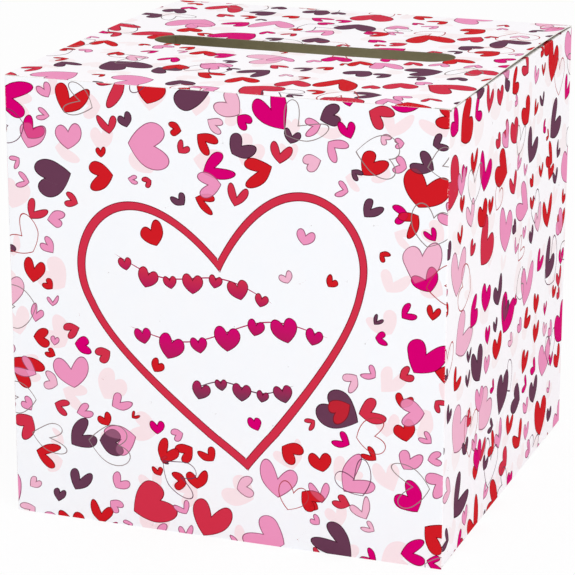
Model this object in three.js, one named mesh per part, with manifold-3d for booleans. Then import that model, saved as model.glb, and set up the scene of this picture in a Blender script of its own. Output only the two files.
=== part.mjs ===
// A 12 inch valentine card box: a carton folded from one sheet of coated board, with a lid that
// tucks in behind the front, a slot for cards, and dust flaps under the lid and over the bottom.
// Millimetres, +Z up, the front faces -Y. The origin is the middle of the box on the floor.
// The board is one sheet, and each crease splits it into two pieces that meet at half the bend.

import * as THREE from "three";
import { mergeVertices } from "three/addons/utils/BufferGeometryUtils.js";
import Module from "manifold-3d";

const wasm = await Module();
wasm.setup();

// The closed box, over its outside faces
const boxWidth = 304.8;
const boxDepth = 304.8;
const boxHeight = 304.8;

// The board and its creases
const boardThickness = 0.7;
const creaseInsideRadius = 0.3;
const creaseSplit = THREE.MathUtils.degToRad(3);
const creaseEndRelief = 0.5;

// Clearances that let the flaps tuck and turn
const flapGap = 0.3;
const tuckGap = 0.3;
const lidSideGap = 1;
const frontEdgeDrop = 0.4;

// The slot for the cards
const slotLength = 219;
const slotWidth = 32;

// The tuck flaps of the lid and the bottom
const tuckDepth = 28;
const tuckLean = THREE.MathUtils.degToRad(7);
const tuckSideGap = 1.2;
const tuckTaper = THREE.MathUtils.degToRad(6);
const tuckCornerRadius = 16;
const slitLength = 9;
const slitGap = 0.3;

// The dust flaps stay clear of the slot at their free edge
const slotToDustFlap = 5;
const dustFrontGap = 2.9;
const dustBackGap = 1.6;
const dustFrontShoulder = 8;
const dustFrontTaper = THREE.MathUtils.degToRad(12);
const dustBackShoulder = 2.6;
const dustBackTaper = THREE.MathUtils.degToRad(45);
const dustCornerRadius = 7;

// The glued seam inside the back left corner
const glueFlapWidth = 19;
const glueFlapEndGap = 4;
const glueFlapTaper = THREE.MathUtils.degToRad(60);
const glueFlapCornerRadius = 3;
const seamSetback = 0.4;
const glueThickness = 0.15;
const glueFaceGap = 0.01;
const glueStripWidth = 9;
const glueStripEndGap = 16;

// Facets of a half bend, of a rounded corner and of the slot's ends, and the grid of the corners
const bendSegments = 4;
const cornerSegments = 8;
const slotEndSegments = 28;
const cornerGrid = 1 / 1024;

const rightAngle = Math.PI / 2;
const creaseRadius = creaseInsideRadius + boardThickness;
const tuckTurn = rightAngle + tuckLean;

// Side flaps fold one board and a gap below the lid, and above the bottom
const flapLevel = boardThickness + flapGap;
// Tuck flaps go down inside the front panel
const tuckLevel = boardThickness + tuckGap;
// The glue flap lies on the inside of the left panel
const seamLevel = boardThickness + glueThickness;

// Flat stretches of the panels, between the starts of their bends
const frontFlat = boxWidth - 2 * creaseRadius;
const sideFlat = boxDepth - 2 * creaseRadius;
const backFlat = boxWidth - 2 * creaseRadius - seamLevel;
const sideHeight = boxHeight - 2 * (flapLevel + creaseRadius);
const backHeight = boxHeight - 2 * creaseRadius;
const lidFlat = boxDepth - tuckLevel - 2 * creaseRadius;
const lidWidth = boxWidth - 2 * lidSideGap;

const board = new THREE.MeshStandardMaterial({ color: 0xf4f3f8, roughness: 0.38, metalness: 0 });
const printedLid = new THREE.MeshStandardMaterial({ color: 0xf6eef4, roughness: 0.38, metalness: 0 });
const greyBack = new THREE.MeshStandardMaterial({ color: 0xa89f8a, roughness: 0.9, metalness: 0 });
const glue = new THREE.MeshStandardMaterial({ color: 0xe9e2c8, roughness: 0.45, metalness: 0 });

// Corners are moved onto a fine grid, so that faces which meet do so exactly
function toSolid(geometry) {
  const bare = geometry.clone();
  bare.deleteAttribute("normal");
  bare.deleteAttribute("uv");
  bare.attributes.position.array.forEach((value, index, values) => {
    values[index] = Math.round(value / cornerGrid) * cornerGrid;
  });
  const merged = mergeVertices(bare);
  return new wasm.Manifold(new wasm.Mesh({
    numProp: 3,
    vertProperties: Float32Array.from(merged.attributes.position.array),
    triVerts: Uint32Array.from(merged.index.array),
  }));
}

function toGeometry(solid) {
  const { vertProperties, triVerts } = solid.getMesh();
  const shared = new THREE.BufferGeometry();
  shared.setAttribute("position", new THREE.BufferAttribute(vertProperties, 3));
  shared.setIndex(new THREE.BufferAttribute(triVerts, 1));
  const faceted = shared.toNonIndexed();
  faceted.computeVertexNormals();
  return faceted;
}

// The radius that still fits a corner between two straight stretches
function fittingRadius(corner, before, after, wanted) {
  const toBefore = before.clone().sub(corner);
  const toAfter = after.clone().sub(corner);
  const halfAngle = Math.abs(toBefore.angleTo(toAfter)) / 2;
  const room = 0.45 * Math.min(toBefore.length(), toAfter.length());
  return Math.min(wanted, room * Math.tan(halfAngle));
}

// A closed outline through the corners, each given as x, y and the radius that rounds it
function roundedOutline(corners) {
  const points = corners.map(([x, y]) => new THREE.Vector2(x, y));
  const outline = new THREE.Shape();
  corners.forEach(([x, y, wanted = 0], index) => {
    const corner = points[index];
    const before = points[(index + points.length - 1) % points.length];
    const after = points[(index + 1) % points.length];
    const radius = wanted > 0 ? fittingRadius(corner, before, after, wanted) : 0;
    const toBefore = before.clone().sub(corner).normalize();
    const toAfter = after.clone().sub(corner).normalize();
    const halfAngle = Math.abs(toBefore.angleTo(toAfter)) / 2;
    const setback = radius / Math.tan(halfAngle);
    const start = corner.clone().addScaledVector(toBefore, setback);
    if (index === 0) {
      outline.moveTo(start.x, start.y);
    } else {
      outline.lineTo(start.x, start.y);
    }
    if (radius > 0) {
      const centre = corner.clone().add(
        toBefore.clone().add(toAfter).setLength(radius / Math.sin(halfAngle)));
      const end = corner.clone().addScaledVector(toAfter, setback);
      const fromAngle = start.clone().sub(centre).angle();
      const toAngle = end.clone().sub(centre).angle();
      outline.absarc(centre.x, centre.y, radius, fromAngle, toAngle, toBefore.cross(toAfter) > 0);
    }
  });
  outline.closePath();
  return outline;
}

function rectangle(width, height) {
  return roundedOutline([[0, 0], [width, 0], [width, height], [0, height]]);
}

// A flat stretch of board: x runs along its crease, y up from it, and its print faces +Z
function flatBoard(outline, thickness = boardThickness, segments = cornerSegments) {
  const sheet = new THREE.ExtrudeGeometry(outline, {
    depth: thickness, bevelEnabled: false, curveSegments: segments,
  });
  return toSolid(sheet.translate(0, 0, -thickness));
}

// Half of a crease's bend, on the edge y = 0, from x = from to x = to. It bends away from the print,
// and laps onto the flat board so that the two fuse.
function halfBend(turn, from, to) {
  const lap = boardThickness;
  const bendEnd = rightAngle + turn / 2 - creaseSplit;
  const section = new THREE.Shape();
  section.moveTo(lap, 0);
  section.absarc(0, -creaseRadius, creaseRadius, rightAngle, bendEnd, false);
  section.absarc(0, -creaseRadius, creaseInsideRadius, bendEnd, rightAngle, true);
  section.lineTo(lap, -boardThickness);
  section.closePath();
  const bend = new THREE.ExtrudeGeometry(section, {
    depth: to - from, bevelEnabled: false, curveSegments: bendSegments,
  });
  // The section's x becomes the board's y, its y the board's z, and its depth the board's x
  const axes = new THREE.Matrix4().makeBasis(
    new THREE.Vector3(0, 1, 0), new THREE.Vector3(0, 0, 1), new THREE.Vector3(1, 0, 0));
  return bend.applyMatrix4(axes).translate(from, 0, 0);
}

function bendAtBottom(turn, from, to) {
  return toSolid(halfBend(turn, from, to));
}

function bendAtTop(turn, from, to, height) {
  return toSolid(halfBend(turn, -to, -from).rotateZ(Math.PI).translate(0, height, 0));
}

function bendAtRight(turn, from, to, width) {
  return toSolid(halfBend(turn, from, to).rotateZ(rightAngle).translate(width, 0, 0));
}

function bendAtLeft(turn, from, to) {
  return toSolid(halfBend(turn, -to, -from).rotateZ(-rightAngle));
}

function fuse(...solids) {
  return solids.reduce((whole, solid) => whole.add(solid));
}

function named(name, solid, material) {
  const mesh = new THREE.Mesh(toGeometry(solid), material);
  mesh.name = name;
  return mesh;
}

// A group that holds what is joined to a board along one of its edges. Its origin is where the
// joined board's flat stretch would start, and it is turned by the fold.
function foldedOn(parent, edge, along, length, turn) {
  const hinge = new THREE.Group();
  const joined = new THREE.Group();
  if (edge === "top") {
    hinge.position.set(along, length, -creaseRadius);
    hinge.rotation.x = -turn;
  } else if (edge === "bottom") {
    hinge.position.set(along, 0, -creaseRadius);
    hinge.rotation.set(turn, 0, Math.PI);
  } else if (edge === "right") {
    hinge.position.set(length, along, -creaseRadius);
    hinge.rotation.y = turn;
  } else {
    hinge.position.set(0, along, -creaseRadius);
    hinge.rotation.y = -turn;
  }
  joined.position.z = creaseRadius;
  hinge.add(joined);
  parent.add(hinge);
  return joined;
}

// The front panel runs the full height, past both tuck flaps
function frontPanel() {
  const height = boxHeight - frontEdgeDrop;
  return fuse(
    flatBoard(rectangle(frontFlat, height)),
    bendAtLeft(rightAngle, 0, height),
    bendAtRight(rightAngle, 0, height, frontFlat));
}

// Where a dust flap's crease starts and ends along its side panel, from the front end
const dustFrom = dustFrontGap;
const dustTo = sideFlat - dustBackGap;
const dustLength = dustTo - dustFrom;

function rightPanel() {
  return fuse(
    flatBoard(rectangle(sideFlat, sideHeight)),
    bendAtLeft(rightAngle, 0, sideHeight),
    bendAtRight(rightAngle, 0, sideHeight, sideFlat),
    bendAtTop(rightAngle, dustFrom, dustTo, sideHeight),
    bendAtBottom(rightAngle, dustFrom, dustTo));
}

// The left panel ends in the cut edge of the glued seam, at the back
function leftPanel() {
  const seamReach = creaseRadius - seamSetback;
  const outline = roundedOutline([
    [-seamReach, 0], [sideFlat, 0], [sideFlat, sideHeight], [-seamReach, sideHeight]]);
  return fuse(
    flatBoard(outline),
    bendAtRight(rightAngle, 0, sideHeight, sideFlat),
    bendAtTop(rightAngle, sideFlat - dustTo, sideFlat - dustFrom, sideHeight),
    bendAtBottom(rightAngle, sideFlat - dustTo, sideFlat - dustFrom));
}

// The crease of the lid and that of the bottom, along the back panel
const hingeFrom = creaseEndRelief;
const hingeTo = backFlat - creaseEndRelief;

function backPanel() {
  return fuse(
    flatBoard(rectangle(backFlat, backHeight)),
    bendAtLeft(rightAngle, 0, backHeight),
    bendAtRight(rightAngle, glueFlapEndGap, backHeight - glueFlapEndGap, backFlat),
    bendAtTop(rightAngle, hingeFrom, hingeTo, backHeight),
    bendAtBottom(rightAngle, hingeFrom, hingeTo));
}

// x runs away from its crease, and its cut ends slope so that they clear the other flaps
function glueFlap() {
  const from = glueFlapEndGap;
  const to = backHeight - glueFlapEndGap;
  const reach = glueFlapWidth - creaseRadius;
  const slope = reach / Math.tan(glueFlapTaper);
  const outline = roundedOutline([
    [0, from], [reach, from + slope, glueFlapCornerRadius],
    [reach, to - slope, glueFlapCornerRadius], [0, to]]);
  return fuse(flatBoard(outline), bendAtLeft(rightAngle, from, to));
}

// A film of glue fills the seam between the flap's print side and the left panel's bare side
function seamGlue() {
  const length = backHeight - 2 * glueStripEndGap;
  const strip = flatBoard(rectangle(glueStripWidth, length), glueThickness - 2 * glueFaceGap);
  const inset = (glueFlapWidth - creaseRadius - glueStripWidth) / 2;
  return strip.translate([inset, glueStripEndGap, glueThickness - glueFaceGap]);
}

// The flat stretch of the lid or the bottom. Its corners beside the slits run on to the front.
function closingPanelOutline() {
  const reach = lidFlat + creaseRadius - slitGap;
  const left = -lidWidth / 2;
  const right = lidWidth / 2;
  const slitFrom = left + slitLength;
  const slitTo = right - slitLength;
  return roundedOutline([
    [left, 0], [right, 0], [right, reach], [slitTo, reach], [slitTo, lidFlat],
    [slitFrom, lidFlat], [slitFrom, reach], [left, reach]]);
}

function closingPanel(outline, hingeStart, hingeEnd) {
  const tuckCreaseEnd = lidWidth / 2 - slitLength - slitGap;
  return fuse(
    flatBoard(outline, boardThickness, slotEndSegments),
    bendAtBottom(rightAngle, hingeStart, hingeEnd),
    bendAtTop(tuckTurn, -tuckCreaseEnd, tuckCreaseEnd, lidFlat));
}

// The slot's ends are full half circles, and it lies in the middle of the box
function cardSlot() {
  const radius = slotWidth / 2;
  const middle = boxDepth / 2 - creaseRadius;
  const straight = slotLength / 2 - radius;
  const slot = new THREE.Path();
  slot.moveTo(-straight, middle - radius);
  slot.lineTo(straight, middle - radius);
  slot.absarc(straight, middle, radius, -rightAngle, rightAngle, false);
  slot.lineTo(-straight, middle + radius);
  slot.absarc(-straight, middle, radius, rightAngle, 3 * rightAngle, false);
  return slot;
}

// The tuck flap is creased between the slits, and free at its ends, which catch the dust flaps
function tuckFlap() {
  const reach = tuckDepth - creaseRadius;
  const halfWidth = lidWidth / 2 - tuckSideGap;
  const narrowing = reach * Math.tan(tuckTaper);
  const creaseEnd = lidWidth / 2 - slitLength - slitGap;
  const outline = roundedOutline([
    [-halfWidth, 0], [halfWidth, 0],
    [halfWidth - narrowing, reach, tuckCornerRadius],
    [-halfWidth + narrowing, reach, tuckCornerRadius]]);
  return fuse(flatBoard(outline), bendAtBottom(tuckTurn, -creaseEnd, creaseEnd));
}

// x runs from the end by the tuck flap, with its straight shoulder, to the end by the hinge of the
// lid, which slopes in so that the lid can lift off it from the first degree
function dustFlap(mirrored) {
  const reach = boxWidth / 2 - slotLength / 2 - slotToDustFlap - creaseRadius;
  const frontSlope = (reach - dustFrontShoulder) * Math.tan(dustFrontTaper);
  const backSlope = (reach - dustBackShoulder) * Math.tan(dustBackTaper);
  const outline = roundedOutline([
    [0, 0], [dustLength, 0], [dustLength, dustBackShoulder],
    [dustLength - backSlope, reach, dustCornerRadius],
    [frontSlope, reach, dustCornerRadius], [0, dustFrontShoulder]]);
  const flap = fuse(flatBoard(outline), bendAtBottom(rightAngle, 0, dustLength));
  return mirrored ? flap.mirror([1, 0, 0]).translate([dustLength, 0, 0]) : flap;
}

function buildBox() {
  const box = new THREE.Group();

  const front = new THREE.Group();
  front.rotation.x = rightAngle;
  front.position.set(-frontFlat / 2, -boxDepth / 2, 0);
  front.add(named("front_panel", frontPanel(), board));
  box.add(front);

  const sideFoot = flapLevel + creaseRadius;
  const right = foldedOn(front, "right", sideFoot, frontFlat, rightAngle);
  right.add(named("right_panel", rightPanel(), board));

  const left = foldedOn(front, "left", sideFoot, frontFlat, rightAngle);
  const leftSheet = new THREE.Group();
  leftSheet.position.x = -sideFlat;
  leftSheet.add(named("left_panel", leftPanel(), board));
  left.add(leftSheet);

  const back = foldedOn(right, "right", creaseRadius - sideFoot, sideFlat, rightAngle);
  back.add(named("back_panel", backPanel(), board));

  const seam = foldedOn(back, "right", 0, backFlat, rightAngle);
  seam.add(named("glue_flap", glueFlap(), greyBack));
  seam.add(named("seam_glue", seamGlue(), glue));

  const lid = foldedOn(back, "top", frontFlat / 2, backHeight, rightAngle);
  const lidOutline = closingPanelOutline();
  lidOutline.holes.push(cardSlot());
  const hingeStart = hingeFrom - frontFlat / 2;
  const hingeEnd = hingeTo - frontFlat / 2;
  lid.add(named("lid_panel", closingPanel(lidOutline, hingeStart, hingeEnd), printedLid));
  const lidTuck = foldedOn(lid, "top", 0, lidFlat, tuckTurn);
  lidTuck.add(named("lid_tuck_flap", tuckFlap(), board));

  const bottom = foldedOn(back, "bottom", frontFlat / 2, 0, rightAngle);
  const bottomSolid = closingPanel(closingPanelOutline(), -hingeEnd, -hingeStart);
  bottom.add(named("bottom_panel", bottomSolid, board));
  const bottomTuck = foldedOn(bottom, "top", 0, lidFlat, tuckTurn);
  bottomTuck.add(named("bottom_tuck_flap", tuckFlap(), board));

  const topRight = foldedOn(right, "top", dustFrom, sideHeight, rightAngle);
  topRight.add(named("top_right_dust_flap", dustFlap(false), board));
  const topLeft = foldedOn(leftSheet, "top", sideFlat - dustTo, sideHeight, rightAngle);
  topLeft.add(named("top_left_dust_flap", dustFlap(true), board));
  const bottomRight = foldedOn(right, "bottom", dustTo, 0, rightAngle);
  bottomRight.add(named("bottom_right_dust_flap", dustFlap(true), board));
  const bottomLeft = foldedOn(leftSheet, "bottom", sideFlat - dustFrom, 0, rightAngle);
  bottomLeft.add(named("bottom_left_dust_flap", dustFlap(false), board));

  return box;
}

export default buildBox();
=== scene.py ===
import math

import bmesh
import bpy
from mathutils import Matrix, Vector


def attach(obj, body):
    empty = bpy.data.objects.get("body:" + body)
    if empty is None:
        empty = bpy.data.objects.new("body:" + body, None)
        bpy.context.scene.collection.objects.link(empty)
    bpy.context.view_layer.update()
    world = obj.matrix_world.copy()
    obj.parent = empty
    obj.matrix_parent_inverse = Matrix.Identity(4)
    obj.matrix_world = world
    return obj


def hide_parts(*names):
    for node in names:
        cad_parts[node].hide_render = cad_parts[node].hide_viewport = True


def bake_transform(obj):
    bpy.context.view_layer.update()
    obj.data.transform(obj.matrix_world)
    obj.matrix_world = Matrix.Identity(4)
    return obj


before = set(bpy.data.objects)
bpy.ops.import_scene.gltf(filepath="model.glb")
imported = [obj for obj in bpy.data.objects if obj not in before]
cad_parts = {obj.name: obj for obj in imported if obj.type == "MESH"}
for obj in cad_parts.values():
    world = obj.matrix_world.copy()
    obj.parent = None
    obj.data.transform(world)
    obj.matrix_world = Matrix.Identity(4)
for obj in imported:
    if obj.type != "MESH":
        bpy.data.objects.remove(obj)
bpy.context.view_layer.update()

mm = 0.001


# Colours of the print, as a paint chart gives them, from 0 to 255
def ink(red, green, blue):
    def linear(value):
        value /= 255
        return value / 12.92 if value <= 0.04045 else ((value + 0.055) / 1.055) ** 2.4
    return (linear(red), linear(green), linear(blue), 1.0)


inks = {
    "red": ink(208, 29, 38),
    "rose": ink(210, 50, 74),
    "magenta": ink(215, 1, 114),
    "pink": ink(237, 150, 191),
    "lightPink": ink(241, 183, 207),
    "blush": ink(249, 229, 233),
    "faintBlush": ink(250, 240, 242),
    "plum": ink(104, 60, 84),
    "berry": ink(176, 30, 88),
    "greyLine": ink(140, 124, 124),
    "redLine": ink(176, 60, 66),
}


# Short forms for the shader nodes. Inputs go by name or number, and each is set or linked.
def feed(tree, node, inputs):
    for key, value in inputs.items():
        if isinstance(value, bpy.types.NodeSocket):
            tree.links.new(value, node.inputs[key])
        else:
            node.inputs[key].default_value = value


def calc(tree, operation, *values):
    node = tree.nodes.new("ShaderNodeMath")
    node.operation = operation
    feed(tree, node, dict(enumerate(values)))
    return node.outputs[0]


def times(tree, first, second):
    return calc(tree, "MULTIPLY", first, second)


def minus(tree, first, second):
    return calc(tree, "SUBTRACT", first, second)


def below(tree, first, second):
    return calc(tree, "LESS_THAN", first, second)


def above(tree, first, second):
    return calc(tree, "GREATER_THAN", first, second)


def timesPlus(tree, first, second, third):
    return calc(tree, "MULTIPLY_ADD", first, second, third)


def vectorCalc(tree, operation, *values, scale=None):
    node = tree.nodes.new("ShaderNodeVectorMath")
    node.operation = operation
    feed(tree, node, dict(enumerate(values)))
    if scale is not None:
        feed(tree, node, {"Scale": scale})
    return node.outputs["Value" if operation in ("LENGTH", "DISTANCE") else "Vector"]


def split(tree, vector):
    node = tree.nodes.new("ShaderNodeSeparateXYZ")
    feed(tree, node, {0: vector})
    return node.outputs


def join(tree, *values):
    node = tree.nodes.new("ShaderNodeCombineXYZ")
    feed(tree, node, dict(enumerate(values)))
    return node.outputs[0]


def turnedAbout(tree, vector, angle):
    node = tree.nodes.new("ShaderNodeVectorRotate")
    node.rotation_type = "Z_AXIS"
    feed(tree, node, {"Vector": vector, "Angle": angle})
    return node.outputs[0]


def fract(tree, value, factor):
    return calc(tree, "FRACT", times(tree, value, factor))


def mixed(tree, factor, first, second, blend="MIX"):
    node = tree.nodes.new("ShaderNodeMix")
    node.data_type = "RGBA"
    node.blend_type = blend
    feed(tree, node, {0: factor, 6: first, 7: second})
    return node.outputs[2]


def noise(tree, vector, scale, detail):
    node = tree.nodes.new("ShaderNodeTexNoise")
    feed(tree, node, {"Vector": vector, "Scale": scale, "Detail": detail})
    return node.outputs["Fac"]


def newGroup(name, inputs, outputs):
    tree = bpy.data.node_groups.new(name, "ShaderNodeTree")
    for direction, names in (("INPUT", inputs), ("OUTPUT", outputs)):
        for socketName, kind in names.items():
            tree.interface.new_socket(socketName, in_out=direction, socket_type="NodeSocket" + kind)
    return tree, tree.nodes.new("NodeGroupInput").outputs, tree.nodes.new("NodeGroupOutput")


def group(tree, name, **values):
    node = tree.nodes.new("ShaderNodeGroup")
    node.node_tree = bpy.data.node_groups[name]
    feed(tree, node, values)
    return node.outputs


# The hearts of the print. All lengths are metres on the sheet.
heartForm = {
    "lean": (0.44, 0.32),    # of the two lobes outwards, and how much more it may be
    "length": 1.25,          # half of a lobe
    "width": (0.35, 0.24),
    "apart": 0.31,           # from the heart's axis to a lobe's middle
    "egg": 0.36,             # how much wider a lobe is at its end
    "curl": 0.1,             # how far a lobe bends back inwards
    "swing": 0.9,            # of the tip to one side
    "uneven": 0.52,          # how much higher one lobe may be
    "middle": 0.22,          # height of the middle over the form's origin
    "reach": 1.47,           # from the middle to the farthest point
    "turn": 2.3,             # most that a heart is turned, either way
    "scatter": 0.6,          # how unevenly the hearts are strewn
    "size": (0.9, 0.14),     # share of its room that a heart fills, and how much more it may
    "seedSlope": 0.618,      # so that two seeds never shift the cells onto each other
}
# factors that make further random numbers out of a heart's three
heartDraws = {"swing": 7.13, "uneven": 11.7, "lean": 3.71, "width": 9.7, "colour": (31.7, 17.3)}


# One heart for each cell, as large as its cell allows, or none
def makeHeartCell():
    tree, into, out = newGroup(
        "heartCell",
        {"Place": "Vector", "Cell": "Float", "Seed": "Float", "Share": "Float",
         "Largest": "Float", "Smallest": "Float"},
        {"Centre": "Vector", "Radius": "Float", "Draw": "Vector"})
    shift = join(tree, into["Seed"], times(tree, into["Seed"], heartForm["seedSlope"]), 0.0)
    moved = vectorCalc(tree, "ADD", into["Place"], shift)
    scaled = vectorCalc(tree, "SCALE", moved, scale=calc(tree, "DIVIDE", 1.0, into["Cell"]))
    cells = {}
    for feature in ("F1", "N_SPHERE_RADIUS"):
        cell = tree.nodes.new("ShaderNodeTexVoronoi")
        cell.voronoi_dimensions = "2D"
        cell.feature = feature
        feed(tree, cell, {"Vector": scaled, "Scale": 1.0, "Randomness": heartForm["scatter"]})
        cells[feature] = cell.outputs
    centre = vectorCalc(tree, "SCALE", cells["F1"]["Position"], scale=into["Cell"])
    draw = split(tree, cells["F1"]["Color"])
    room = times(tree, cells["N_SPHERE_RADIUS"]["Radius"], into["Cell"])
    size = calc(tree, "MINIMUM", room, into["Largest"])
    filled = timesPlus(tree, draw[1], heartForm["size"][1], heartForm["size"][0])
    size = times(tree, size, filled)
    there = times(tree, below(tree, draw[2], into["Share"]), above(tree, size, into["Smallest"]))
    feed(tree, out, {"Centre": vectorCalc(tree, "SUBTRACT", centre, shift),
                     "Radius": times(tree, size, there), "Draw": cells["F1"]["Color"]})


# A random number that lies evenly about 0
def evenly(tree, value, factor, spread):
    return times(tree, minus(tree, fract(tree, value, factor), 0.5), spread)


# How deep a place lies inside a heart, below 0 outside of it. Each half is a leaning egg.
def makeHeartDepth():
    tree, into, out = newGroup(
        "heartDepth",
        {"Place": "Vector", "Centre": "Vector", "Radius": "Float", "Draw": "Vector",
         "Turn": "Float"},
        {"Depth": "Float"})
    draw = split(tree, into["Draw"])
    radius = calc(tree, "MAXIMUM", into["Radius"], 1e-5)
    away = vectorCalc(tree, "SUBTRACT", into["Place"], into["Centre"])
    angle = timesPlus(tree, draw[0], 2 * heartForm["turn"], -heartForm["turn"])
    away = turnedAbout(tree, away, times(tree, angle, into["Turn"]))
    toUnit = calc(tree, "DIVIDE", heartForm["reach"], radius)
    unit = split(tree, vectorCalc(tree, "SCALE", away, scale=toUnit))
    up = calc(tree, "ADD", unit[1], heartForm["middle"])
    # the tip swings to one side, and one lobe is higher
    low = calc(tree, "MINIMUM", up, 0.0)
    swing = evenly(tree, draw[1], heartDraws["swing"], heartForm["swing"])
    across = timesPlus(tree, times(tree, low, low), swing, unit[0])
    uneven = evenly(tree, draw[0], heartDraws["uneven"], heartForm["uneven"])
    high = calc(tree, "MAXIMUM", up, 0.0)
    raised = times(tree, high, times(tree, across, uneven))
    side = minus(tree, calc(tree, "ABSOLUTE", across), heartForm["apart"])
    least, more = heartForm["lean"]
    lean = timesPlus(tree, fract(tree, draw[1], heartDraws["lean"]), more, least)
    lobe = join(tree, side, minus(tree, up, raised), 0.0)
    lobe = split(tree, turnedAbout(tree, lobe, lean))
    squared = times(tree, lobe[1], lobe[1])
    bent = timesPlus(tree, squared, heartForm["curl"], lobe[0])
    least, more = heartForm["width"]
    width = timesPlus(tree, fract(tree, draw[2], heartDraws["width"]), more, least)
    egg = timesPlus(tree, lobe[1], heartForm["egg"], 1.0)
    width = calc(tree, "MAXIMUM", times(tree, width, egg), 0.05)
    length = heartForm["length"]
    form = join(tree, calc(tree, "DIVIDE", bent, width), calc(tree, "DIVIDE", lobe[1], length), 0.0)
    steep = vectorCalc(tree, "DIVIDE", form, join(tree, width, length, 1.0))
    steep = vectorCalc(tree, "LENGTH", steep)
    form = vectorCalc(tree, "LENGTH", form)
    depth = times(tree, form, minus(tree, 1.0, form))
    depth = calc(tree, "DIVIDE", depth, calc(tree, "MAXIMUM", steep, 0.01))
    size = calc(tree, "DIVIDE", radius, heartForm["reach"])
    feed(tree, out, {"Depth": times(tree, depth, size)})


def heartDepth(tree, place, centre, radius, draw, turn):
    return group(tree, "heartDepth", Place=place, Centre=centre, Radius=radius, Draw=draw,
                 Turn=turn)["Depth"]


# The large heart on the front. Its form is 1 on the line and less inside.
bigHeart = {
    "centre": (8 * mm, -30 * mm),
    "halfWidth": 99 * mm,
    "unitHeight": 68 * mm,
    "turn": math.radians(-8),
    "notch": (1.35, 1.95),   # below and above
    "notchSpan": 0.7,        # from the middle to either
    "round": 0.5,
    "point": 0.97,
    "line": 5.6 * mm,
    "brush": 1.6 * mm,       # how much the line's half width varies
    "brushNoise": 9.0,
    "clear": 2.5 * mm,       # from its line to the hearts around it
    "clearShare": 0.9,       # of such a heart's reach
    "step": 0.4 * mm,        # over which the form's slope is taken
    "leastSlope": 4.0,
}


def makeBigHeartForm():
    tree, into, out = newGroup("bigHeartForm", {"Place": "Vector"}, {"Form": "Float"})
    away = vectorCalc(tree, "SUBTRACT", into["Place"], (*bigHeart["centre"], 0.0))
    away = turnedAbout(tree, away, bigHeart["turn"])
    unit = split(tree, vectorCalc(
        tree, "MULTIPLY", away, (1 / bigHeart["halfWidth"], 1 / bigHeart["unitHeight"], 0.0)))
    side = calc(tree, "ABSOLUTE", unit[0])
    node = tree.nodes.new("ShaderNodeMapRange")
    span = bigHeart["notchSpan"]
    feed(tree, node, dict(enumerate((unit[1], -span, span, *bigHeart["notch"]))))
    lift = times(tree, calc(tree, "POWER", side, bigHeart["point"]), node.outputs[0])
    lift = times(tree, lift, timesPlus(tree, side, -bigHeart["round"], 1.0))
    form = join(tree, unit[0], minus(tree, unit[1], lift), 0.0)
    feed(tree, out, {"Form": vectorCalc(tree, "LENGTH", form)})


# How far a place lies outside of the large heart's line, from the slope of its form
def makeBigHeartGap():
    tree, into, out = newGroup("bigHeartGap", {"Place": "Vector"}, {"Gap": "Float"})
    step = bigHeart["step"]
    forms = []
    for shift in ((0.0, 0.0, 0.0), (step, 0.0, 0.0), (0.0, step, 0.0)):
        near = vectorCalc(tree, "ADD", into["Place"], shift)
        forms.append(group(tree, "bigHeartForm", Place=near)["Form"])
    slopes = [calc(tree, "DIVIDE", minus(tree, form, forms[0]), step) for form in forms[1:]]
    steep = vectorCalc(tree, "LENGTH", join(tree, *slopes, 0.0))
    steep = calc(tree, "MAXIMUM", steep, bigHeart["leastSlope"])
    feed(tree, out, {"Gap": calc(tree, "DIVIDE", minus(tree, forms[0], 1.0), steep)})


makeHeartCell()
makeHeartDepth()
makeBigHeartForm()
makeBigHeartGap()


# Sizes in millimetres, density and colours of the strewn hearts, for the side print. The first
# layers are the larger hearts, and each later one keeps clear of them.
sideHearts = {
    "layers": [
        {"cell": 40, "share": 0.92, "largest": 16, "smallest": 8},
        {"cell": 24, "share": 0.97, "largest": 10.5, "smallest": 5.5},
        {"cell": 15.5, "share": 0.95, "largest": 6.6, "smallest": 3.6},
    ],
    "shares": {"red": 0.24, "rose": 0.14, "pink": 0.14, "magenta": 0.2, "lightPink": 0.06,
               "plum": 0.22},
    "overShares": {"red": 0.3, "magenta": 0.2, "pink": 0.3, "plum": 0.2},
    "turn": 0.5,         # 1 is as much as the form allows
    "closeness": 0.72,   # of two hearts' reaches
    "rim": 0.8,          # the darker line round a heart
    "showThrough": 0.22,    # how far hearts show through those that lie over them
    "paleInk": "faintBlush",
    "pale": {"number": 11, "cell": 24, "share": 1.0, "largest": 12, "smallest": 3.5},
    "over": {"number": 14, "cell": 38, "share": 0.35, "largest": 9.5, "smallest": 5},
    "open": {"number": 17, "cell": 38, "share": 0.55, "largest": 16, "smallest": 7},
    "openLine": 0.42,
    "lines": {"greyLine": 0.35, "redLine": 0.35, "plum": 0.3},
    "scale": 1.42,
    "seed": 0.0,
    "seedStep": 1.7,     # from layer to layer
}
frontHearts = {
    **sideHearts,
    "shares": {"red": 0.25, "rose": 0.15, "pink": 0.26, "magenta": 0.1, "lightPink": 0.12,
               "plum": 0.12},
    "turn": 1.0,
    "closeness": 0.69,
    "rim": 0.6,
    "paleInk": "blush",
    "pale": {"number": 11, "cell": 27, "share": 0.85, "largest": 12, "smallest": 4},
    "openLine": 0.3,
    "lines": {"greyLine": 0.6, "redLine": 0.25, "plum": 0.15},
    "scale": 1.22,
    "seed": 3.1,
}


def cellValues(hearts, layer, number):
    scale = hearts["scale"] * mm
    values = {name.capitalize(): layer[name] * scale for name in ("cell", "largest", "smallest")}
    return {**values, "Share": layer["share"], "Seed": hearts["seed"] + hearts["seedStep"] * number}


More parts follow.
